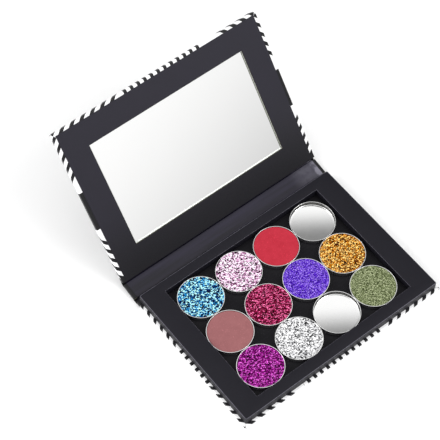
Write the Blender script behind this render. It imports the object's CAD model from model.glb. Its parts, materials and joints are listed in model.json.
import json
import math
import random

import bmesh
import bpy
from mathutils import Matrix, Vector
from mathutils.geometry import delaunay_2d_cdt


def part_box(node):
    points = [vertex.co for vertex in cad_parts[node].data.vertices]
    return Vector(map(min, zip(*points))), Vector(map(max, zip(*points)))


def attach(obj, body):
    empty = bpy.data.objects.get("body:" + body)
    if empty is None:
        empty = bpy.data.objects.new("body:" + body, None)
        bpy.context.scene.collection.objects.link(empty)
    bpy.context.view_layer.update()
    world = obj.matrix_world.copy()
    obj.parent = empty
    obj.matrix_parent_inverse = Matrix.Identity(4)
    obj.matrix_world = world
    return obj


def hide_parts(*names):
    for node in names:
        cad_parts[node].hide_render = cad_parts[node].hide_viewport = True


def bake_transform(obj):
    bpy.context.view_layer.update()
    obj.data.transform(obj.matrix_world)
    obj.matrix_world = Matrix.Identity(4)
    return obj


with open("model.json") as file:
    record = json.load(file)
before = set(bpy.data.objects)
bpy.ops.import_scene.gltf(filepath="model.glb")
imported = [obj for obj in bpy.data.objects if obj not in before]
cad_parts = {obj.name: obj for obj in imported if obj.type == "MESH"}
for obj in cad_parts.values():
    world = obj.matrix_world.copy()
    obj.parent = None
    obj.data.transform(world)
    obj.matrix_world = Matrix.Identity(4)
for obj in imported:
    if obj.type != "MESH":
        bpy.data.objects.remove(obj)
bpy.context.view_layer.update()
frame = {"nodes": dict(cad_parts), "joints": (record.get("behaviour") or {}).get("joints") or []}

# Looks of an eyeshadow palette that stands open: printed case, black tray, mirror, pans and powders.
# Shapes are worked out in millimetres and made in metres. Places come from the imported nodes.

MM = 0.001
JOINTS = {joint["name"]: joint for joint in frame["joints"]}
SPINE_TILT = math.radians(JOINTS["spine_fold"]["range_deg"][1])
LID_FOLD = math.radians(JOINTS["lid_fold"]["range_deg"][1])

EDGE_R = 0.45        # rounding of the wrapped boards' edges
CORNER_R = 0.6       # rounding of the boards' upright corners
SMALLEST_R = 0.02    # no corner is rounded with less than this
SAME_POINT = 1e-6    # points nearer than this are one point
MERGE = 0.0005       # a piece's vertices nearer than this are joined
STRAIGHT = 1e-9      # a path that turns less than this is straight
ARC_STEPS = 5
WEAR = 0.25          # width of the rubbed line beside a bend of black paper
TURN_IN = 14.0       # width of the paper folded in over a board
SPINE_TURN_IN = 12.0
CREASE_IN = 0.8      # the hinge paper bends from here ...
CREASE_OUT = 0.3     # ... to here, measured from the hinge's axis
CREASE_ROWS = 24     # divisions of the paper across a hinge
CREASE_PASSES = 30   # passes that settle where a point of that paper rests


# ---- frames of the case's panels ----

def hinge_frame(joint, angle):
    """Frame on a hinge's axis: X along it, Y across the next panel, Z away from that panel's outer face."""
    return Matrix.Translation(JOINTS[joint]["pos_m"]) @ Matrix.Rotation(angle, 4, "X")


FRAMES = {
    "base": Matrix.Identity(4),
    "spine": hinge_frame("spine_fold", SPINE_TILT),
    "lid": hinge_frame("lid_fold", SPINE_TILT + LID_FOLD),
}


def extents(node, body="base"):
    """Lowest and highest corner of a CAD node in its body's own frame, in millimetres."""
    inverse = FRAMES[body].inverted()
    points = [inverse @ vertex.co / MM for vertex in frame["nodes"][node].data.vertices]
    low = Vector([min(p[i] for p in points) for i in range(3)])
    high = Vector([max(p[i] for p in points) for i in range(3)])
    return low, high


BASE_LOW, BASE_HIGH = extents("base_wrap")
TRAY_LOW, TRAY_HIGH = extents("tray_cover")
SHEET_LOW, SHEET_HIGH = extents("magnetic_sheet")
SPINE_LOW, SPINE_HIGH = extents("spine_wrap", "spine")
SPINE_TOP = extents("spine_liner", "spine")[1].z
LID_LOW, LID_HIGH = extents("lid_wrap", "lid")
LINER_HIGH = extents("lid_liner", "lid")[1]
MIRROR_LOW, MIRROR_HIGH = extents("mirror", "lid")
PAPER = extents("base_board")[0].z - BASE_LOW.z
PANEL_W = BASE_HIGH.x - BASE_LOW.x
PANEL_D = BASE_HIGH.y - BASE_LOW.y
LINER_X = LINER_HIGH.x
GLASS_SLACK = 0.2    # gap between the mirror and its window

# Places on the unfolded sheet of the hinge's paper and of the spine, past a panel's hinge edge
CREASE_SHEET_Y = -PANEL_D / 2 - 1.0
SPINE_SHEET_Y = -PANEL_D / 2 - 3.0

# A panel's frame has its origin at the hinge edge's middle, on the outer face, with Y towards the free edge
BASE_PANEL = Matrix.Translation((0, BASE_HIGH.y * MM, 0)) @ Matrix.Rotation(math.pi, 4, "Z")
LID_PANEL = FRAMES["lid"] @ Matrix.Translation((0, LID_LOW.y * MM, LID_LOW.z * MM))
SPINE_PANEL = FRAMES["spine"] @ Matrix.Translation((0, SPINE_LOW.y * MM, SPINE_LOW.z * MM))


# ---- node arithmetic for materials ----

def arithmetic(operation):
    """A method that makes a new Value by that operation of a Math node."""
    return lambda value, *others: value.math(operation, *others)


class Value:
    """A number that varies over a surface, with the arithmetic of shader nodes."""

    def __init__(self, tree, socket):
        self.tree = tree
        self.socket = socket

    def math(self, operation, *others):
        node = self.tree.nodes.new("ShaderNodeMath")
        node.operation = operation
        for slot, item in zip(node.inputs, (self,) + others):
            connect(self.tree, slot, item)
        return Value(self.tree, node.outputs[0])

    __add__ = arithmetic("ADD")
    __sub__ = arithmetic("SUBTRACT")
    __mul__ = arithmetic("MULTIPLY")
    __truediv__ = arithmetic("DIVIDE")
    __lt__ = arithmetic("LESS_THAN")
    __gt__ = arithmetic("GREATER_THAN")
    either = arithmetic("MAXIMUM")
    size = arithmetic("ABSOLUTE")
    part = arithmetic("FRACT")

    def inverse(self):
        return (self - 1.0).size()

    def between(self, low, high):
        return (self > low) * (self < high)

    def ramp(self, low, high, out_low=0.0, out_high=1.0):
        """Follows this number from low to high, smoothly, as a number from out_low to out_high."""
        node = self.tree.nodes.new("ShaderNodeMapRange")
        node.interpolation_type = "SMOOTHSTEP"
        for slot, item in zip(node.inputs, (self, low, high, out_low, out_high)):
            connect(self.tree, slot, item)
        return Value(self.tree, node.outputs["Result"])

    def mix(self, first, second):
        """Goes from one colour to another, each a constant or a node's output, as this number rises to 1."""
        node = self.tree.nodes.new("ShaderNodeMix")
        node.data_type = "RGBA"
        for slot, item in zip((0, 6, 7), (self, first, second)):
            connect(self.tree, node.inputs[slot], item)
        return Value(self.tree, node.outputs[2])

    def bump(self, depth):
        """Turns this number, as a height from 0 to 1, into relief of that depth in metres."""
        return add_node(self.tree, "ShaderNodeBump", "Normal", Height=self, Distance=depth, Strength=1.0)


def connect(tree, slot, item):
    """Gives a node's input a number, a colour or another node's output."""
    if isinstance(item, Value):
        tree.links.new(item.socket, slot)
    elif hasattr(item, "__len__") and len(item) == 3 and slot.type == "RGBA":
        slot.default_value = (*item, 1.0)
    else:
        slot.default_value = item


def fill(tree, node, inputs):
    """Fills a node's named inputs."""
    for key, item in inputs.items():
        connect(tree, node.inputs[key.replace("_", " ")], item)


def add_node(tree, kind, output=0, settings=None, **inputs):
    """Adds a node, fills the named inputs and gives the output asked for."""
    node = tree.nodes.new(kind)
    for key, value in (settings or {}).items():
        setattr(node, key, value)
    fill(tree, node, inputs)
    return Value(tree, node.outputs[output])


def noise(tree, scale, detail=3.0, rough=0.5, place=None):
    """Soft noise from 0 to 1; scale is in waves per metre."""
    place = place or add_node(tree, "ShaderNodeTexCoord", "Object")
    inputs = {"Vector": place, "Scale": scale, "Detail": detail, "Roughness": rough}
    return add_node(tree, "ShaderNodeTexNoise", "Fac", **inputs)


def colour_ramp(tree, share, stops):
    """Runs through stops of (place, screen colour)."""
    node = tree.nodes.new("ShaderNodeValToRGB")
    ramp = node.color_ramp
    while len(ramp.elements) < len(stops):
        ramp.elements.new(0.5)
    for element, (place, colour) in zip(ramp.elements, stops):
        element.position = place
        element.color = (*srgb(*colour), 1.0)
    connect(tree, node.inputs[0], share)
    return Value(tree, node.outputs[0])


def srgb(*channels):
    """A colour given as 0 to 255 screen values, in linear light."""
    shares = [c / 255 for c in channels]
    return tuple(s / 12.92 if s <= 0.04045 else ((s + 0.055) / 1.055) ** 2.4 for s in shares)


def scaled(colour, factor):
    """A colour made lighter or darker."""
    return tuple(c * factor for c in colour)


def new_material(name):
    """A new material, its node tree and a function that fills its surface's named inputs."""
    material = bpy.data.materials.new(name)
    material.use_nodes = True
    tree = material.node_tree
    tree.nodes.clear()
    shader = tree.nodes.new("ShaderNodeBsdfPrincipled")
    output = tree.nodes.new("ShaderNodeOutputMaterial")
    tree.links.new(shader.outputs[0], output.inputs[0])
    return material, tree, lambda **inputs: fill(tree, shader, inputs)


def split(tree, vector):
    """The three coordinates of a vector."""
    node = tree.nodes.new("ShaderNodeSeparateXYZ")
    connect(tree, node.inputs[0], vector)
    return [Value(tree, output) for output in node.outputs]


def sheet_axes(tree):
    """The two coordinates on an unfolded sheet, in millimetres."""
    return split(tree, add_node(tree, "ShaderNodeUVMap", "UV", settings={"uv_map": "sheet"}))[:2]


# ---- materials ----

WORN_INK = srgb(118, 116, 128)    # black paper where an edge is rubbed


def black_paper(name, colour, gloss, handled=0.0):
    """Soft-touch black paper: fine grain, faint clouding and a broad satin gloss.

    handled is the way from the sheet's start, in millimetres, over which it comes to its full tone."""
    material, tree, dress = new_material(name)
    cloud = noise(tree, 70, detail=4)
    grain = noise(tree, 5200, detail=2, rough=0.7)
    fibre = noise(tree, 1500, detail=5, rough=0.65)
    tone = cloud * 0.2 + fibre * 0.5 + grain * 0.3
    ink = tone.ramp(0.35, 0.65).mix(scaled(colour, 0.88), scaled(colour, 1.12))
    edge = add_node(tree, "ShaderNodeAttribute", "Fac", settings={"attribute_name": "edge"})
    wear = edge * fibre.ramp(0.3, 0.6, 0.25, 0.8)
    rough = fibre.ramp(0.3, 0.7, 0.4, 0.5)
    if handled:
        fresh = sheet_axes(tree)[1].ramp(0.0, handled, 1.0, 0.0)
        ink = fresh.mix(ink, scaled(colour, 0.3))
        rough = rough + fresh * 0.3
        wear = wear * fresh.inverse()
    dress(Base_Color=wear.mix(ink, WORN_INK), Roughness=rough, Specular_IOR_Level=gloss)
    dress(Normal=(grain * 0.7 + fibre * 0.3).bump(0.00002))
    return material


# The spine's lining along X, in millimetres from its middle
SHEEN_REACH = 60.0            # it grows a little lighter from one of these to the other
SCUFFED = (46.0, 58.0)        # it is more and more scuffed from the first to the second
FRAYED = (62.5, 63.5)         # and frayed past the second


def creased_paper(name, colour):
    """The same black paper where it has been folded often: fine ripples along the spine, glossy with use."""
    material, tree, dress = new_material(name)
    place = add_node(tree, "ShaderNodeTexCoord", "Object")
    along = add_node(tree, "ShaderNodeMapping", "Vector", Vector=place, Scale=(0.05, 1.0, 1.0))
    ripples = noise(tree, 520, detail=4, rough=0.6, place=along)
    streaks = noise(tree, 170, detail=2, place=along)
    crumple = noise(tree, 260, detail=2)
    grain = noise(tree, 5200, detail=2, rough=0.7)
    x = sheet_axes(tree)[0]
    shine = streaks * 0.5 + ripples * 0.5 + x.ramp(-SHEEN_REACH, SHEEN_REACH, -0.04, 0.1)
    ink = shine.ramp(0.34, 0.7).mix(scaled(colour, 0.6), scaled(colour, 1.8))
    frayed = x.ramp(*FRAYED)
    scuffed = x.ramp(*SCUFFED, 0.0, 0.3) * crumple.ramp(0.35, 0.6, 0.6)
    worn = scuffed + frayed * crumple.ramp(0.4, 0.6, 0.1, 0.8)
    dress(Base_Color=worn.mix(ink, WORN_INK))
    dress(Roughness=ripples.ramp(0.35, 0.65, 0.52, 0.4), Specular_IOR_Level=0.38)
    height = ripples * 0.6 + frayed * crumple + grain * 0.1
    dress(Normal=height.bump(0.00005))
    return material


# The print on a panel, in millimetres from its middle: Y towards the free edge, X across.
FACE_X = 46.0          # half sizes of the plain black panel in the middle
FACE_Y = 26.5
OUTLINE = 1.6          # white line round it
BLACK_SHARE = 0.47     # width of a bar as a share of its period
SPINE_INK = 44.5       # from here to the hinge the print is black

# Periods of the bars: upright ones on the free edge and the sides, slanted ones by where they are
END_PERIOD = 4.4
RUNG_PERIOD = 4.5
RIGHT_PERIOD = 6.6
LOW_PERIOD = 5.8
HIGH_PERIOD = 5.9
LOW_START = -0.6       # the first bar of a side, measured from the hinge edge
BAR_MARGIN = 0.1       # the first upright bar starts this far inside its group

# Where each group of bars starts and ends, and how far past the edge the strip with no bars lies
LID_BARS = {
    "left_start": -66.8, "left_period": 6.6, "left_end": -22.5,
    "middle": (-21.5, 31.0), "right_start": 41.4,
    "low_end": 33.0, "high_start": 64.3, "block": (35.0, 58.5), "white_edge": (0.0, 0.0),
}
BASE_BARS = {
    "left_start": -68.0, "left_period": 6.1, "left_end": -25.5,
    "middle": (-25.0, 28.0), "right_start": 32.5,
    "low_end": 40.0, "high_start": 62.0, "rungs": (38.0, 64.9), "white_edge": (-0.6, 1.45),
}


def repeat(line, period, start):
    """1 on bars that repeat along a line from start."""
    return ((line - start) / period).part() < BLACK_SHARE


def end_bars(x, past, lay):
    """Bars along the free edge: slanted, upright, a gap, slanted. past is the way beyond the edge."""
    left_end, (first, last), right_start = lay["left_end"], lay["middle"], lay["right_start"]
    left = repeat(x + past, lay["left_period"], lay["left_start"])
    left = left * (x < left_end) * (x + past < left_end)
    middle = repeat(x, END_PERIOD, first) * x.between(first - BAR_MARGIN, last)
    right = repeat(x - past, RIGHT_PERIOD, right_start)
    right = right * (x > right_start) * (x - past > right_start)
    return left.either(middle).either(right)


def side_bars(along, past, lay):
    """Bars along a side, from the hinge edge: slanted, then a black block or upright bars, then slanted."""
    low = repeat(along + past, LOW_PERIOD, LOW_START)
    low = low * (along + past < lay["low_end"]) * (along < PANEL_D / 2)
    high = repeat(along - past, HIGH_PERIOD, lay["high_start"])
    high = high * (along - past > lay["high_start"]) * (along > PANEL_D / 2)
    if "block" in lay:
        return low.either(high).either(along.between(*lay["block"]))
    rungs = repeat(along, RUNG_PERIOD, lay["rungs"][0]) * along.between(*lay["rungs"])
    return low.either(high).either(rungs)


def printed_paper(name, lay):
    """White paper printed with black bars that run out from each panel, under a thin satin film."""
    material, tree, dress = new_material(name)
    x, y = sheet_axes(tree)
    half_w, half_d = PANEL_W / 2, PANEL_D / 2
    past_side, past_end = x.size() - half_w, y - half_d
    bars = side_bars(y + half_d, past_side, lay)
    ends = end_bars(x, past_end, lay)
    on_end = past_end > past_side
    edge = past_end.either(past_side).between(*lay["white_edge"])
    band = (ends * on_end + bars * on_end.inverse()) * edge.inverse()
    middle = (x.size() < FACE_X) * (y.size() < FACE_Y)
    outline = (x.size() < FACE_X + OUTLINE) * (y.size() < FACE_Y + OUTLINE)
    ink = (band * outline.inverse()).either(middle).either(y < -SPINE_INK)
    fibre = noise(tree, 1800, detail=5, rough=0.6)
    grain = noise(tree, 6000, detail=2)
    white = fibre.mix(srgb(240, 240, 242), srgb(250, 250, 250))
    black = fibre.mix(srgb(9, 9, 12), srgb(17, 16, 20))
    dress(Base_Color=ink.mix(white, black))
    dress(Roughness=fibre.ramp(0.3, 0.7, 0.34, 0.46), Specular_IOR_Level=0.25)
    dress(Coat_Weight=0.12, Coat_Roughness=0.2, Normal=(grain * 0.5 + fibre * 0.5).bump(0.000012))
    return material


def greyboard():
    """Recycled board with fibres and darker specks."""
    material, tree, dress = new_material("greyboard_fibre")
    fibre = noise(tree, 900, detail=6, rough=0.7)
    speck = noise(tree, 4200, detail=2)
    tone = fibre.ramp(0.3, 0.7).mix(srgb(88, 86, 72), srgb(120, 117, 100))
    dress(Base_Color=speck.ramp(0.62, 0.72).mix(tone, srgb(60, 57, 48)))
    dress(Roughness=0.9, Normal=(fibre * 0.6 + speck * 0.4).bump(0.00008))
    return material


def rubber_sheet():
    """Flexible magnetic sheet with faint rolling lines."""
    material, tree, dress = new_material("magnetic_sheet_rubber")
    place = add_node(tree, "ShaderNodeTexCoord", "Object")
    settings = {"wave_type": "BANDS", "bands_direction": "Y"}
    inputs = {"Vector": place, "Scale": 160.0, "Distortion": 1.5}
    lines = add_node(tree, "ShaderNodeTexWave", "Fac", settings=settings, **inputs)
    grain = noise(tree, 3600, detail=3)
    tone = grain * 0.7 + lines * 0.3
    dress(Base_Color=tone.mix(srgb(10, 9, 12), srgb(18, 17, 22)), Specular_IOR_Level=0.15)
    dress(Roughness=grain.ramp(0.3, 0.7, 0.42, 0.56), Normal=tone.bump(0.00002))
    return material


def polished_tin(name, low, high, tint):
    """Tinplate, drawn and lightly polished: faint turning marks and a few soft scuffs."""
    material, tree, dress = new_material(name)
    scuff = noise(tree, 420, detail=4, rough=0.6)
    grain = noise(tree, 9000, detail=1)
    dress(Base_Color=scuff.mix(scaled(tint, 0.95), tint))
    dress(Metallic=1.0, Roughness=scuff.ramp(0.3, 0.7, low, high), Normal=grain.bump(0.0000015))
    return material


def silvered_glass():
    """Mirror glass, silvered behind: clean, with the faintest haze."""
    material, tree, dress = new_material("mirror_silvering")
    haze = noise(tree, 60, detail=3)
    dress(Base_Color=haze.mix((0.955, 0.955, 0.95), (0.97, 0.97, 0.965)))
    dress(Metallic=1.0, Roughness=haze.ramp(0.3, 0.7, 0.02, 0.035))
    return material


def ground_edge(name, dark, light):
    """A ground edge of the mirror: frosted, with fine grinding marks."""
    material, tree, dress = new_material(name)
    marks = noise(tree, 7000, detail=2)
    dress(Base_Color=marks.mix(dark, light), Roughness=0.35, Normal=marks.bump(0.00001))
    return material


def tape_film():
    """White foam tape with a fine open texture."""
    material, tree, dress = new_material("tape_foam")
    place = add_node(tree, "ShaderNodeTexCoord", "Object")
    foam = add_node(tree, "ShaderNodeTexVoronoi", "Distance", Vector=place, Scale=3000)
    dress(Base_Color=foam.mix(srgb(226, 226, 220), srgb(246, 246, 242)))
    dress(Roughness=0.8, Normal=foam.bump(0.00005))
    return material


def pressed_powder(name, dark, light):
    """Matte pressed powder: very fine grain with soft clouding."""
    material, tree, dress = new_material(name)
    cloud = noise(tree, 260, detail=4, rough=0.6)
    grain = noise(tree, 5200, detail=3, rough=0.75)
    tone = cloud * 0.3 + grain * 0.7
    pressed = tone.ramp(0.3, 0.7).mix(dark, light)
    fleck = noise(tree, 1500, detail=1)
    dusty = fleck.ramp(0.66, 0.74, 0.0, 0.5).mix(pressed, scaled(light, 1.7))
    dress(Base_Color=dusty, Roughness=grain.ramp(0.3, 0.7, 0.72, 0.9), Specular_IOR_Level=0.25)
    dress(Normal=(grain * 0.8 + cloud * 0.2).bump(0.00003))
    return material


def glitter(name, metallic, stops):
    """Glitter flakes: each facet takes its own colour from the stops and its own gloss."""
    material, tree, dress = new_material(name)
    flake = add_node(tree, "ShaderNodeAttribute", "Fac", settings={"attribute_name": "flake"})
    dust = noise(tree, 6000, detail=2)
    share = flake + (dust - 0.5) * 0.3
    dress(Base_Color=colour_ramp(tree, share, stops), Metallic=metallic)
    dress(Roughness=flake.ramp(0.0, 1.0, 0.42, 0.24), Specular_IOR_Level=0.08, Normal=dust.bump(0.00001))
    return material


TRAY_INK = srgb(23, 22, 29)
LINING_INK = srgb(22, 19, 33)
LID_PRINT = printed_paper("lid_print", LID_BARS)
BASE_PRINT = printed_paper("base_print", BASE_BARS)
TRAY_PAPER = black_paper("tray_paper", TRAY_INK, gloss=0.2)
LINING = black_paper("lining_paper", LINING_INK, gloss=0.38)
SPINE_LINING = creased_paper("spine_lining_paper", LINING_INK)
LID_LINING = black_paper("lid_lining_paper", LINING_INK, gloss=0.36, handled=55.0)
BOARD = greyboard()
RUBBER = rubber_sheet()
TIN = polished_tin("pan_tin", 0.07, 0.1, (0.97, 0.97, 0.965))
DRAWN_TIN = polished_tin("pan_wall_tin", 0.14, 0.24, (0.07, 0.07, 0.065))
NICKEL = polished_tin("magnet_nickel", 0.22, 0.36, (0.72, 0.71, 0.69))
SILVERING = silvered_glass()
GROUND = ground_edge("mirror_ground_edge", srgb(224, 228, 222), srgb(246, 248, 244))
GLASS_WALL = ground_edge("mirror_side_edge", srgb(70, 74, 58), srgb(108, 112, 92))
TAPE = tape_film()


# ---- mesh helpers ----

def mesh_object(name, bm):
    """Adds a bmesh to the scene as an object."""
    mesh = bpy.data.meshes.new(name)
    bm.to_mesh(mesh)
    bm.free()
    thing = bpy.data.objects.new(name, mesh)
    bpy.context.scene.collection.objects.link(thing)
    return thing


def add_piece(name, mesh_maker, place, materials, body, slot, *stands_for, paper=0.0, sharp=35.0):
    """Makes a closed piece from a function that fills a bmesh in millimetres. It rides on its body, if any.

    paper is the thickness of a sheet that the function leaves as a single surface."""
    bm = bmesh.new()
    mesh_maker(bm)
    bmesh.ops.remove_doubles(bm, verts=bm.verts, dist=MERGE)
    if not paper:
        bmesh.ops.recalc_face_normals(bm, faces=bm.faces)
    bm.transform(place @ Matrix.Scale(MM, 4))
    piece = mesh_object(name, bm)
    if paper:
        thicken(piece, paper)
    mesh = piece.data
    mesh.shade_smooth()
    mesh.set_sharp_from_angle(angle=math.radians(sharp))
    for material in materials:
        mesh.materials.append(material)
    if body:
        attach(piece, body)
    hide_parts(*stands_for)
    for node in stands_for:
        give_material(node, materials[0])
    return piece


def give_material(node, material):
    """Puts a material in every slot of a CAD node."""
    for slot in frame["nodes"][node].material_slots:
        slot.material = material


def thicken(piece, thickness):
    """Turns a single surface into a closed sheet below it."""
    modifier = piece.modifiers.new("paper", "SOLIDIFY")
    modifier.thickness = thickness * MM
    modifier.offset = -1.0
    modifier.use_even_offset = True
    shaped = piece.evaluated_get(bpy.context.evaluated_depsgraph_get())
    piece.data = bpy.data.meshes.new_from_object(shaped)
    piece.modifiers.clear()
    piece.data.name = piece.name


def join_loops(bm, loops):
    """Skins a run of loops with the same number of vertices."""
    for first, second in zip(loops, loops[1:]):
        for i in range(len(first)):
            j = (i + 1) % len(first)
            bm.faces.new((first[i], first[j], second[j], second[i]))


def skin_rings(bm, rings):
    """Skins a run of rings with the same number of points, and gives their loops of vertices."""
    loops = [[bm.verts.new(point) for point in ring] for ring in rings]
    join_loops(bm, loops)
    return loops


def skin_solid(bm, rings):
    """Skins a run of rings and caps both ends. Gives the loops and the last cap."""
    loops = skin_rings(bm, rings)
    bm.faces.new(list(reversed(loops[0])))
    return loops, bm.faces.new(loops[-1])


def rounded_rectangle(low, high, radius, height, grow=0.0):
    """Points round a rectangle with round corners, anticlockwise, at a height."""
    radius = max(radius + grow, SMALLEST_R)
    points = []
    quarters = ((1, 1, 0), (-1, 1, 90), (-1, -1, 180), (1, -1, 270))
    for side_x, side_y, turn in quarters:
        corner_x = (high.x + grow if side_x > 0 else low.x - grow) - side_x * radius
        corner_y = (high.y + grow if side_y > 0 else low.y - grow) - side_y * radius
        for step in range(ARC_STEPS + 1):
            angle = math.radians(turn + 90 * step / ARC_STEPS)
            points.append((corner_x + radius * math.cos(angle), corner_y + radius * math.sin(angle), height))
    return points


def arc(centre, radius, start, stop, steps=ARC_STEPS):
    """Points on an arc in a plane, from one angle to another in degrees."""
    angles = [math.radians(start + (stop - start) * i / steps) for i in range(steps + 1)]
    return [(centre[0] + radius * math.cos(a), centre[1] + radius * math.sin(a)) for a in angles]


def circle(radius, height, steps):
    """Points round a circle at a height, anticlockwise."""
    turns = [2 * math.pi * i / steps for i in range(steps)]
    return [(radius * math.cos(t), radius * math.sin(t), height) for t in turns]


def folded_grid(bm, lines, path, skip=None):
    """A sheet that runs along X between lines and follows a path of (y, z) points.

    Its sheet coordinates are X and the way along the path, and it is worn where it bends."""
    layer = bm.loops.layers.uv.new("sheet")
    edge = bm.verts.layers.float.new("edge")
    rows = [[bm.verts.new((x, y, z)) for x in lines] for y, z in path]
    for before, row, after, at in zip(path, rows[1:], path[2:], path[1:]):
        turn = (at[0] - before[0]) * (after[1] - at[1]) - (at[1] - before[1]) * (after[0] - at[0])
        for vert in row:
            vert[edge] = 1.0 if abs(turn) > STRAIGHT else 0.0
    way = [0.0]
    for (y0, z0), (y1, z1) in zip(path, path[1:]):
        way.append(way[-1] + math.hypot(y1 - y0, z1 - z0))
    for i in range(len(path) - 1):
        for k in range(len(lines) - 1):
            if skip and skip((lines[k] + lines[k + 1]) / 2, (path[i][0] + path[i + 1][0]) / 2):
                continue
            face = bm.faces.new((rows[i][k], rows[i][k + 1], rows[i + 1][k + 1], rows[i + 1][k]))
            corners = ((k, i), (k + 1, i), (k + 1, i + 1), (k, i + 1))
            for loop, (column, row) in zip(face.loops, corners):
                loop[layer].uv = (lines[column], way[row])


# ---- printed paper round the boards ----

def fold_profile(thickness):
    """Inset, height and way past the edge of each ring, from the outer face to the end of the turn-in."""
    quarter = EDGE_R * math.pi / 2
    up = quarter - EDGE_R + thickness - 2 * EDGE_R
    angles = [math.pi / 2 * step / ARC_STEPS for step in range(ARC_STEPS + 1)]
    outer, inner = [], []
    for angle in angles:
        short, long = EDGE_R * (1 - math.sin(angle)), EDGE_R * (1 - math.cos(angle))
        outer.append((short, long, EDGE_R * angle - EDGE_R))
        inner.append((long, thickness - short, up + EDGE_R * angle))
    return outer + inner + [(TURN_IN, thickness, up + quarter + TURN_IN - EDGE_R)]


def fold_path(inset):
    """Points and outward directions along the three folded edges of a panel, at an inset."""
    half = PANEL_W / 2
    pull = max(CORNER_R, inset)
    radius = max(CORNER_R - inset, 0.0)
    path = [((inset - half, 0.0), (-1.0, 0.0))]
    for side, start, stop in ((-1, 180, 90), (1, 90, 0)):
        centre = (side * (half - pull), PANEL_D - pull)
        for step in range(ARC_STEPS + 1):
            angle = math.radians(start + (stop - start) * step / ARC_STEPS)
            out = (math.cos(angle), math.sin(angle))
            path.append(((centre[0] + radius * out[0], centre[1] + radius * out[1]), out))
    path.append(((half - inset, 0.0), (1.0, 0.0)))
    return path


def sheet_place(section, point, out, past):
    """Place on the unfolded sheet, from the panel's middle, of a point past an edge."""
    half, middle = PANEL_W / 2, PANEL_D / 2
    if section == "left":
        return (-half - past, point[1] - middle)
    if section == "right":
        return (half + past, point[1] - middle)
    if section == "end":
        return (point[0], middle + past)
    side = -1 if section == "left_corner" else 1
    reach = CORNER_R + past
    return (side * (half - CORNER_R) + out[0] * reach, middle - CORNER_R + out[1] * reach)


def wrap_panel(thickness):
    """Maker of the printed sheet on a panel: outer face, three folded edges and their turn-ins."""
    def make(bm):
        layer = bm.loops.layers.uv.new("sheet")
        rings = fold_profile(thickness)
        paths = [fold_path(inset) for inset, _, _ in rings]
        rows = [[bm.verts.new((*point, ring[1])) for point, _ in path] for ring, path in zip(rings, paths)]
        sections = ["left"] + ["left_corner"] * ARC_STEPS + ["end"]
        sections += ["right_corner"] * ARC_STEPS + ["right"]
        for k in range(len(rings) - 1):
            for i, section in enumerate(sections):
                spots = [(k, i), (k, i + 1), (k + 1, i + 1), (k + 1, i)]
                if (rows[k + 1][i].co - rows[k + 1][i + 1].co).length < SAME_POINT:
                    spots = spots[:3]
                if (rows[k][i].co - rows[k][i + 1].co).length < SAME_POINT:
                    continue
                spots.reverse()
                face = bm.faces.new([rows[a][b] for a, b in spots])
                for loop, (a, b) in zip(face.loops, spots):
                    point, out = paths[a][b]
                    loop[layer].uv = sheet_place(section, point, out, rings[a][2])
        outer = bm.faces.new(rows[0])
        for loop in outer.loops:
            loop[layer].uv = (loop.vert.co.x, loop.vert.co.y - PANEL_D / 2)
    return make


def wrap_spine(bm):
    """The spine's printed sheet, folded in over both ends."""
    width, rise = PANEL_W / 2, SPINE_HIGH.z - SPINE_LOW.z
    half = [(width - SPINE_TURN_IN, rise)] + arc((width - EDGE_R, rise - EDGE_R), EDGE_R, 90, 0)
    half += arc((width - EDGE_R, EDGE_R), EDGE_R, 0, -90)
    outline = half + [(-x, z) for x, z in reversed(half)]
    layer = bm.loops.layers.uv.new("sheet")
    edges = (0.0, SPINE_HIGH.y - SPINE_LOW.y)
    rows = [[bm.verts.new((x, y, z)) for x, z in outline] for y in edges]
    for i in range(len(outline) - 1):
        face = bm.faces.new((rows[0][i], rows[0][i + 1], rows[1][i + 1], rows[1][i]))
        for loop in face.loops:
            loop[layer].uv = (loop.vert.co.x, SPINE_SHEET_Y - loop.vert.co.y)


# ---- lining paper ----

def line_spine(bm):
    """Lining over the spine, pressed down its two edges into the grooves."""
    width, top = SPINE_HIGH.y - SPINE_LOW.y, SPINE_TOP - SPINE_LOW.z
    near = [(-PAPER, 2 * PAPER)] + arc((0.0, top - PAPER), PAPER, 180, 90) + [(WEAR, top)]
    path = near + [(width - y, z) for y, z in reversed(near)]
    folded_grid(bm, (-LINER_X, LINER_X), path)


def line_lid(bm):
    """Lining round the mirror's window, with its hinge edge pressed down into the groove."""
    top = LINER_HIGH.z - LID_LOW.z
    hinge = LID_LOW.y
    window_x = MIRROR_HIGH.x + GLASS_SLACK
    window = (MIRROR_LOW.y - GLASS_SLACK - hinge, MIRROR_HIGH.y + GLASS_SLACK - hinge)
    path = [(-PAPER, 2 * PAPER)] + arc((0.0, top - PAPER), PAPER, 180, 90)
    path += [(WEAR, top), (window[0], top), (window[1], top), (LINER_HIGH.y - hinge, top)]

    def in_window(x, y):
        return abs(x) < window_x and window[0] < y < window[1]

    folded_grid(bm, (-LINER_X, -window_x, window_x, LINER_X), path, skip=in_window)


def line_base_edge(bm):
    """Lining that leaves the groove over the base's hinge edge and ends under the tray."""
    edge, top = BASE_HIGH.y, BASE_HIGH.z
    path = [(edge + PAPER, 2 * PAPER)] + arc((edge, top), PAPER, 0, 90)
    path.append((TRAY_HIGH.y + 0.02, top + PAPER))
    folded_grid(bm, (LINER_X, -LINER_X), path)


# ---- paper that bends at the hinges ----

def smooth_share(way):
    t = min(max(way, 0.0), 1.0)
    return t * t * (3 - 2 * t)


def crease_ends(joint, direction, fold, reach_back, reach_on):
    """Start and end of a bend in metres, either side of a hinge's axis, along the bisected angle."""
    axis = Vector(JOINTS[joint]["pos_m"])
    along = Vector((0, math.cos(direction + fold / 2), math.sin(direction + fold / 2)))
    return axis - along * reach_back * MM, axis + along * reach_on * MM


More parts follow.
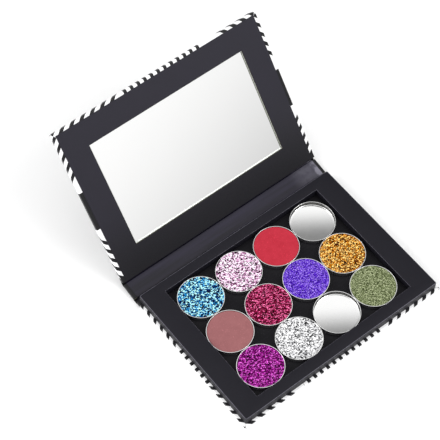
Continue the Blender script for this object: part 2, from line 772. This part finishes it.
def bent_point(joint, direction, fold, start, end, x, y, z):
    """Rest place in metres of a point of a hinge's paper, given about the axis with the case laid flat."""
    axis = Vector(JOINTS[joint]["pos_m"])
    flat = Vector((x, y, z)) * MM
    share = 0.5
    for _ in range(CREASE_PASSES):
        place = axis + Matrix.Rotation(direction + fold * share, 3, "X") @ flat
        share = smooth_share((place - start).dot(end - start) / (end - start).length_squared)
    return place


def crease_strip(name, joint, direction, fold, spans, half_w, low, high, material, slot, *nodes):
    """A strip of paper across a hinge, modelled at rest so that it lies flat when the case does."""
    back, on, reach_back, reach_on = spans
    start, end = crease_ends(joint, direction, fold, reach_back, reach_on)
    stops = [-back + (back + on) * i / CREASE_ROWS for i in range(CREASE_ROWS + 1)]

    def make(bm):
        layer = bm.loops.layers.uv.new("sheet")
        rings = []
        for y in stops:
            corners = ((-half_w, low), (half_w, low), (half_w, high), (-half_w, high))
            rings.append([bent_point(joint, direction, fold, start, end, x, y, z) / MM for x, z in corners])
        skin_solid(bm, rings)
        for face in bm.faces:
            for loop in face.loops:
                loop[layer].uv = (loop.vert.co.x, CREASE_SHEET_Y)

    piece = add_piece(name, make, Matrix.Identity(4), [material], None, slot, *nodes)
    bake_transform(piece)


def hinge_strips(prefix, joint, direction, fold, spans, print_material):
    """Printed paper and lining across one hinge."""
    low = SPINE_LOW.z
    common = (joint, direction, fold, spans)
    crease_strip(prefix + "_crease_print", *common, PANEL_W / 2, low, low + PAPER,
                 print_material, "printed_paper", prefix + "_hinge_wrap")
    crease_strip(prefix + "_crease_lining", *common, LINER_X, low + PAPER, low + 2 * PAPER,
                 SPINE_LINING, "black_paper", prefix + "_hinge_liner")


# ---- tray ----

TRAY_EDGE_R = 0.45
TRAY_CORNER_R = 1.0
WELL_EDGE_R = 0.14
WELL_CORNER_R = 0.15
WELL_SLACK = 0.1        # gap between the magnetic sheet and the well's walls
COVER_T = 0.2           # thickness of the tray's paper
SHEET_CORNER_R = 0.5
SHEET_BEVEL = 0.1

# Rings of the cover in the middle of its two bends, where the paper is rubbed
RUBBED_RINGS = [ARC_STEPS - 1, ARC_STEPS, ARC_STEPS + 3, ARC_STEPS + 4, ARC_STEPS + 5]


def cover_tray(bm):
    """Black paper over the tray: outside wall, rounded top edge, top, and down the well's walls."""
    foot, top = TRAY_LOW.z, TRAY_HIGH.z

    def outside(inset, height):
        return rounded_rectangle(TRAY_LOW, TRAY_HIGH, TRAY_CORNER_R, height, grow=-inset)

    def inside(grow, height):
        radius = WELL_CORNER_R - WELL_SLACK
        return rounded_rectangle(SHEET_LOW, SHEET_HIGH, radius, height, grow=WELL_SLACK + grow)

    rings = [outside(0.0, foot)]
    rings += [outside(TRAY_EDGE_R - r, z) for r, z in arc((0.0, top - TRAY_EDGE_R), TRAY_EDGE_R, 0, 90)]
    rings += [inside(WELL_EDGE_R + r, z) for r, z in arc((0.0, top - WELL_EDGE_R), WELL_EDGE_R, 90, 180)]
    rings += [inside(0.0, foot), inside(COVER_T, foot), inside(COVER_T, top - 2 * COVER_T)]
    rings += [outside(2 * COVER_T, top - 2 * COVER_T), outside(COVER_T, foot)]
    layer = bm.verts.layers.float.new("edge")
    loops = skin_rings(bm, rings)
    join_loops(bm, [loops[-1], loops[0]])
    for k in RUBBED_RINGS:
        for vert in loops[k]:
            vert[layer] = 1.0


def magnetic_sheet(bm):
    """The sheet on the well's floor, with round corners and a small bevel on its top edge."""
    steps = ((0.0, SHEET_LOW.z), (0.0, SHEET_HIGH.z - SHEET_BEVEL), (SHEET_BEVEL, SHEET_HIGH.z))
    skin_solid(bm, [
        rounded_rectangle(SHEET_LOW, SHEET_HIGH, SHEET_CORNER_R, z, grow=-inset) for inset, z in steps
    ])


# ---- mirror ----

GLASS_BEVEL = 0.1
GLASS_EDGE = 0.12       # how much of the ground edge shows round the silvering
GLASS_CORNER_R = 0.3
SILVER_DEPTH = 0.7      # the silvering lies this far below the glass's front


def mirror_glass(bm):
    """The glass plate's ground edge, and its silvering seen through the glass at the back."""
    low, high = MIRROR_LOW, MIRROR_HIGH
    inner = GLASS_BEVEL + GLASS_EDGE
    steps = ((0.0, low.z), (0.0, high.z - GLASS_BEVEL), (GLASS_BEVEL, high.z), (inner, high.z))
    steps += ((inner, high.z - SILVER_DEPTH),)
    rings = [rounded_rectangle(low, high, GLASS_CORNER_R, z, grow=-inset) for inset, z in steps]
    loops, silvering = skin_solid(bm, rings)
    bm.normal_update()
    for face in bm.faces:
        at_side = any(vert in loops[-1] for vert in face.verts) and abs(face.normal.x) > 0.5
        face.material_index = 2 if at_side else 1
    silvering.material_index = 0


# ---- pans and powders ----

PAN_STEPS = 128
PAN_WALL = 0.22
RIM_CURL = 0.13         # the rim's lip leans in this far over the powder
RIM_R = 0.07            # the rim is flattened on top, with this radius at each side
RIM_DEPTH = 3 * RIM_R   # the rim ends this far down the inner wall
FLOOR_DISH = 0.42       # the floor rises this far from its middle to the wall
FLOOR_RINGS = 14
FOOT_R = 0.6
HUB = 0.01              # a turned shape is capped at this radius
DRAWN_FROM = 0.6        # the drawn wall starts this far out on the inner bend


def pan_shape(radius, height):
    """Maker of a drawn tin pan: rounded foot, straight wall, flattened rim and a slightly dished floor."""
    lip = PAN_WALL + RIM_CURL
    outside = [(HUB, 0.0)] + arc((radius - FOOT_R, FOOT_R), FOOT_R, -90, 0, 8)
    rim = arc((radius - RIM_R, height - RIM_R), RIM_R, 0, 90)
    rim += arc((radius - lip + RIM_R, height - RIM_R), RIM_R, 90, 200)
    neck = [(radius - PAN_WALL, height - RIM_DEPTH)]
    edge = radius - PAN_WALL - FOOT_R
    floor_edge = PAN_WALL + FLOOR_DISH
    inside = arc((edge, floor_edge + FOOT_R), FOOT_R, 0, -86, 8)
    shares = [i / FLOOR_RINGS for i in range(FLOOR_RINGS - 1, -1, -1)]
    floor = [(edge * share + HUB, PAN_WALL + FLOOR_DISH * share ** 2) for share in shares]
    profile = outside + rim + neck + inside + floor

    def make(bm):
        skin_solid(bm, [circle(r, z, PAN_STEPS) for r, z in profile])
        for face in bm.faces:
            middle = face.calc_center_median()
            on_wall = edge + DRAWN_FROM * FOOT_R < middle.xy.length < radius - PAN_WALL / 2
            below_rim = floor_edge < middle.z < height - RIM_DEPTH
            face.material_index = 1 if on_wall and below_rim else 0
    return make


POWDER_FOOT = ((0.0, 1.0), (0.25, 0.35), (0.7, 0.32))    # inset and height of the rings round its foot
POWDER_STEPS = 96
POWDER_SLACK = 0.02     # gap between a powder and its pan's wall
SHOULDER = 0.55         # a matte powder falls away to its edge with this radius
MATTE_RINGS = 22
MATTE_DIP = 0.06        # its top lies this far below the shoulder, give or take its waves
MATTE_WAVE = 0.012
FLAKE_ROW = 0.866       # distance between rows of flakes, as a share of a flake's size
FLAKE_SHIFT = 0.36      # how far flakes stray from their rows, as a share of their size
FLAKE_MARGIN = 0.4      # flakes keep this far from the edge, as a share of their size
GLITTER_DROP = 0.1      # a glitter's edge lies this far below its top
ON_EDGE = 0.01          # a point nearer than this to the edge is on it
STEEP = 0.3             # a face whose normal rises less than this is a side


def powder_sides(bm, radius, seats):
    """Side and foot of a powder under a top edge of seats, which are its vertices in order."""
    rings = [circle(radius - inset, z, len(seats)) for inset, z in POWDER_FOOT]
    loops = [seats] + [[bm.verts.new(point) for point in ring] for ring in rings]
    join_loops(bm, loops)
    bm.faces.new(list(reversed(loops[-1])))


def matte_powder(radius, height, rng):
    """Maker of a pressed powder with a soft shoulder and a barely uneven top."""
    turn = 2 * math.pi
    waves = [(rng.uniform(0.15, 0.5), rng.uniform(0, turn), rng.uniform(0, turn)) for _ in range(5)]

    def lift(x, y):
        return MATTE_WAVE * sum(math.sin(f * (x * math.cos(a) + y * math.sin(a)) + b) for f, a, b in waves)

    def make(bm):
        shoulder = arc((radius - SHOULDER, height - SHOULDER), SHOULDER, 0, 80, 4)
        rings = [circle(r, z, POWDER_STEPS) for r, z in shoulder]
        for k in range(MATTE_RINGS, 0, -1):
            flat = circle((radius - SHOULDER) * k / MATTE_RINGS, height - MATTE_DIP, POWDER_STEPS)
            rings.append([(x, y, z + lift(x, y)) for x, y, z in flat])
        loops = skin_rings(bm, rings)
        bm.faces.new(loops[-1])
        powder_sides(bm, radius, loops[0])
    return make


def glitter_powder(radius, height, cell, tilt, rng):
    """Maker of a glitter powder: a top of small flakes, each with its own tilt and its own flake value."""
    spots = [Vector(point[:2]) for point in circle(radius, height, POWDER_STEPS)]
    rows = int(radius / (cell * FLAKE_ROW)) + 1
    for row in range(-rows, rows + 1):
        for column in range(-rows - 2, rows + 3):
            x = (column + 0.5 * (row % 2)) * cell + rng.uniform(-FLAKE_SHIFT, FLAKE_SHIFT) * cell
            y = row * cell * FLAKE_ROW + rng.uniform(-FLAKE_SHIFT, FLAKE_SHIFT) * cell
            if math.hypot(x, y) < radius - FLAKE_MARGIN * cell:
                spots.append(Vector((x, y)))
    places, _, faces, _, _, _ = delaunay_2d_cdt(spots, [], [], 0, 1e-6)
    heights = [height - tilt * rng.random() for _ in places]
    grains = [rng.random() for _ in places]
    values = [grains[min(corners)] for corners in faces]

    def make(bm):
        flake = bm.faces.layers.float.new("flake")
        verts = [bm.verts.new((p.x, p.y, z)) for p, z in zip(places, heights)]
        for corners, value in zip(faces, values):
            face = bm.faces.new([verts[i] for i in corners])
            face.normal_update()
            if face.normal.z < 0:
                face.normal_flip()
            face[flake] = value
        rim = sorted(
            (v for v in verts if v.co.xy.length > radius - ON_EDGE),
            key=lambda v: math.atan2(v.co.y, v.co.x) % (2 * math.pi - 1e-6),
        )
        for v in rim:
            v.co.z = height - GLITTER_DROP
        powder_sides(bm, radius, rim)
        for face in bm.faces:
            if abs(face.normal.z) < STEEP:
                face[flake] = 0.5
    return make


def round_node(node):
    """Place of an upright round CAD node, and its radius and height in millimetres."""
    low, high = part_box(node)
    place = Matrix.Translation(((low.x + high.x) / 2, (low.y + high.y) / 2, low.z))
    return place, (high.x - low.x) / 2 / MM, (high.z - low.z) / MM


def add_pan(name):
    """The tin pan of that name."""
    node = "pan_" + name
    place, radius, height = round_node(node)
    maker = pan_shape(radius, height)
    add_piece(node + "_tin", maker, place, [TIN, DRAWN_TIN], node, "tinplate", node, sharp=60)


# Coarse glitters and fine shimmers: a flake's size, how far it tips, how metallic it is, and its colours
GLITTERS = {
    "blue": (0.54, 0.34, 0.3, (
        (0.26, (0, 0, 32)), (0.4, (0, 12, 72)), (0.52, (0, 76, 144)),
        (0.64, (0, 152, 222)), (0.8, (190, 254, 255)))),
    "pink": (0.54, 0.34, 0.3, (
        (0.18, (14, 0, 4)), (0.3, (96, 28, 76)), (0.46, (204, 144, 188)),
        (0.64, (238, 198, 228)), (0.78, (255, 246, 255)))),
    "crimson": (0.44, 0.34, 0.3, (
        (0.22, (24, 0, 4)), (0.4, (74, 0, 20)), (0.58, (116, 0, 46)),
        (0.74, (160, 2, 78)), (0.92, (255, 122, 178)))),
    "gold": (0.46, 0.34, 0.35, (
        (0.18, (20, 0, 0)), (0.32, (86, 26, 0)), (0.5, (174, 98, 0)),
        (0.66, (222, 144, 16)), (0.82, (255, 218, 132)))),
    "magenta": (0.44, 0.3, 0.3, (
        (0.2, (28, 0, 24)), (0.36, (78, 0, 66)), (0.54, (116, 0, 102)),
        (0.74, (156, 2, 142)), (0.92, (232, 106, 222)))),
    "silver": (0.5, 0.34, 0.35, (
        (0.16, (0, 0, 2)), (0.26, (66, 66, 70)), (0.44, (184, 184, 186)),
        (0.64, (226, 226, 228)), (0.78, (255, 255, 255)))),
    "violet": (0.34, 0.1, 0.2, (
        (0.1, (20, 0, 88)), (0.32, (58, 12, 156)), (0.55, (86, 34, 196)),
        (0.78, (118, 74, 216)), (0.92, (184, 150, 255)))),
    "green": (0.34, 0.1, 0.2, (
        (0.1, (40, 48, 20)), (0.32, (80, 88, 54)), (0.55, (110, 120, 82)),
        (0.78, (138, 148, 108)), (0.92, (190, 198, 158)))),
}
MATTES = {
    "red": (srgb(166, 28, 46), srgb(188, 46, 64)),
    "mauve": (srgb(134, 83, 85), srgb(154, 99, 101)),
}


def add_powder(name, rng):
    """The powder of that name, in its pan."""
    node = "powder_" + name
    place, radius, height = round_node(node)
    radius -= POWDER_SLACK
    if name in MATTES:
        maker = matte_powder(radius, height, rng)
        material = pressed_powder("pressed_" + name, *MATTES[name])
        sharp = 60
    else:
        cell, tilt, metallic, stops = GLITTERS[name]
        maker = glitter_powder(radius, height, cell, tilt, rng)
        material = glitter("glitter_" + name, metallic, stops)
        sharp = 1
    add_piece(node + "_pressed", maker, place, [material], "pan_" + name, node, node, sharp=sharp)


# ---- assembly ----

def build_case():
    """Printed paper, lining and the hinges' paper."""
    wrap_base = wrap_panel(BASE_HIGH.z - BASE_LOW.z)
    wrap_lid = wrap_panel(LID_HIGH.z - LID_LOW.z)
    printed, black = "printed_paper", "black_paper"
    sheets = (
        ("base_print_paper", wrap_base, BASE_PANEL, BASE_PRINT, "base", printed, "base_wrap"),
        ("lid_print_paper", wrap_lid, LID_PANEL, LID_PRINT, "lid", printed, "lid_wrap"),
        ("spine_print_paper", wrap_spine, SPINE_PANEL, LID_PRINT, "spine", printed, "spine_wrap"),
        ("spine_lining", line_spine, SPINE_PANEL, SPINE_LINING, "spine", black, "spine_liner"),
        ("lid_lining", line_lid, LID_PANEL, LID_LINING, "lid", black, "lid_liner"),
        ("base_edge_lining", line_base_edge, FRAMES["base"], LINING, "base", black, "base_hinge_liner"),
    )
    for name, maker, place, material, body, slot, node in sheets:
        add_piece(name, maker, place, [material], body, slot, node, paper=PAPER)
    near = abs(BASE_HIGH.y - JOINTS["spine_fold"]["pos_m"][1] / MM)
    far = SPINE_LOW.y
    base_spans = (near, far, CREASE_IN, CREASE_OUT)
    lid_spans = (far, LID_LOW.y, CREASE_OUT, CREASE_IN)
    hinge_strips("base", "spine_fold", 0.0, SPINE_TILT, base_spans, BASE_PRINT)
    hinge_strips("lid", "lid_fold", SPINE_TILT, LID_FOLD, lid_spans, LID_PRINT)


def build_tray():
    """Tray paper and magnetic sheet."""
    place = FRAMES["base"]
    add_piece("tray_paper_cover", cover_tray, place, [TRAY_PAPER], "base", "black_paper", "tray_cover")
    add_piece("well_magnetic_sheet", magnetic_sheet, place, [RUBBER], "base", "magnetic_rubber",
              "magnetic_sheet")


def build_mirror():
    """Mirror glass in the lid's window."""
    add_piece("mirror_glass_plate", mirror_glass, FRAMES["lid"], [SILVERING, GROUND, GLASS_WALL], "lid",
              "mirror_glass", "mirror")


def dress_hidden_nodes():
    """Boards, frame, magnets and tape keep their CAD shape and get real materials."""
    inside = {
        "base_board": BOARD, "tray_frame": BOARD, "spine_board": BOARD, "lid_backing_board": BOARD,
        "lid_window_board": BOARD, "base_magnets": NICKEL, "lid_magnets": NICKEL, "mirror_tape": TAPE,
    }
    for node, material in inside.items():
        give_material(node, material)


FIRST_SEED = 100


def build_pans():
    """Twelve pans and their powders."""
    names = [node[len("pan_"):] for node in sorted(frame["nodes"]) if node.startswith("pan_")]
    for number, name in enumerate(names):
        add_pan(name)
        if "powder_" + name in frame["nodes"]:
            add_powder(name, random.Random(FIRST_SEED + number))


# ---- camera, light and floor ----

CAMERA_LENS = 129.93
CAMERA_AZIMUTH = math.radians(-37.96)
CAMERA_ELEVATION = math.radians(58.052)
CAMERA_DISTANCE = 868.92
CAMERA_AIM = (-37.58, 42.29)     # the point looked at, right of and above the origin in the view


def add_looking(name, data, place, direction):
    """Adds a camera or a light that looks in a direction."""
    thing = bpy.data.objects.new(name, data)
    thing.location = place
    thing.rotation_mode = "QUATERNION"
    thing.rotation_quaternion = direction.to_track_quat("-Z", "Y")
    bpy.context.scene.collection.objects.link(thing)
    return thing


def add_camera():
    """The camera, a little in front, to the left and well above."""
    flat = math.cos(CAMERA_ELEVATION)
    cos, sin = math.cos(CAMERA_AZIMUTH), math.sin(CAMERA_AZIMUTH)
    back = Vector((sin * flat, -cos * flat, math.sin(CAMERA_ELEVATION)))
    right = Vector((cos, sin, 0))
    up = back.cross(right)
    data = bpy.data.cameras.new("camera")
    data.lens = CAMERA_LENS
    data.clip_start = 0.01
    place = (back * CAMERA_DISTANCE + right * CAMERA_AIM[0] + up * CAMERA_AIM[1]) * MM
    bpy.context.scene.camera = add_looking("camera", data, place, -back)


def add_light(name, place, aim, size, power):
    """A soft square light that faces a point."""
    light = bpy.data.lights.new(name, "AREA")
    light.shape = "SQUARE"
    light.size = size
    light.energy = power
    add_looking(name, light, place, Vector(aim) - Vector(place))


def add_surroundings():
    """A white studio that darkens softly near the horizon and behind on the right."""
    world = bpy.data.worlds.new("studio")
    bpy.context.scene.world = world
    world.use_nodes = True
    tree = world.node_tree
    tree.nodes.clear()
    place = add_node(tree, "ShaderNodeTexCoord", "Generated")

    def nearness(direction, far_deg, near_deg):
        node = tree.nodes.new("ShaderNodeVectorMath")
        node.operation = "DOT_PRODUCT"
        tree.links.new(place.socket, node.inputs[0])
        node.inputs[1].default_value = Vector(direction).normalized()
        cosine = Value(tree, node.outputs["Value"])
        return cosine.ramp(math.cos(math.radians(far_deg)), math.cos(math.radians(near_deg)))

    card = nearness((0.55, 0.72, 0.42), 40, 28.5)
    x, _, z = split(tree, place)
    rise = z - x * 0.3
    tone = rise.ramp(-0.06, 0.18, 0.3, 1.0) * (card * -0.75 + 1.0)
    background = tree.nodes.new("ShaderNodeBackground")
    connect(tree, background.inputs["Color"], tone.mix((0.0, 0.0, 0.0), (1.0, 1.0, 1.0)))
    background.inputs["Strength"].default_value = 1.05
    output = tree.nodes.new("ShaderNodeOutputWorld")
    tree.links.new(background.outputs[0], output.inputs[0])


FLOOR_SIZE = 4.0        # half the floor's width, in metres
FLOOR_GAP = 0.0001      # the floor lies this far under the palette, in metres


def add_floor():
    """A wide white floor just under the palette."""
    bm = bmesh.new()
    bmesh.ops.create_grid(bm, x_segments=8, y_segments=8, size=FLOOR_SIZE)
    floor = mesh_object("floor", bm)
    floor.location.z = -FLOOR_GAP
    material, tree, dress = new_material("floor_white")
    soft = noise(tree, 3, detail=2)
    dress(Base_Color=soft.mix((0.9, 0.9, 0.9), (0.92, 0.92, 0.92)), Roughness=0.9, Specular_IOR_Level=0.2)
    floor.data.materials.append(material)


def light_scene():
    """Plain soft studio light."""
    bpy.context.scene.view_settings.view_transform = "Standard"
    add_surroundings()
    add_floor()
    add_light("overhead", (0.5, -0.75, 1.05), (0, 0.03, 0), 0.7, 6.0)
    add_light("left_fill", (-0.9, 0.45, 0.8), (-0.1, 0.05, 0), 0.8, 6.0)


add_camera()
light_scene()
build_case()
build_tray()
build_mirror()
build_pans()
dress_hidden_nodes()
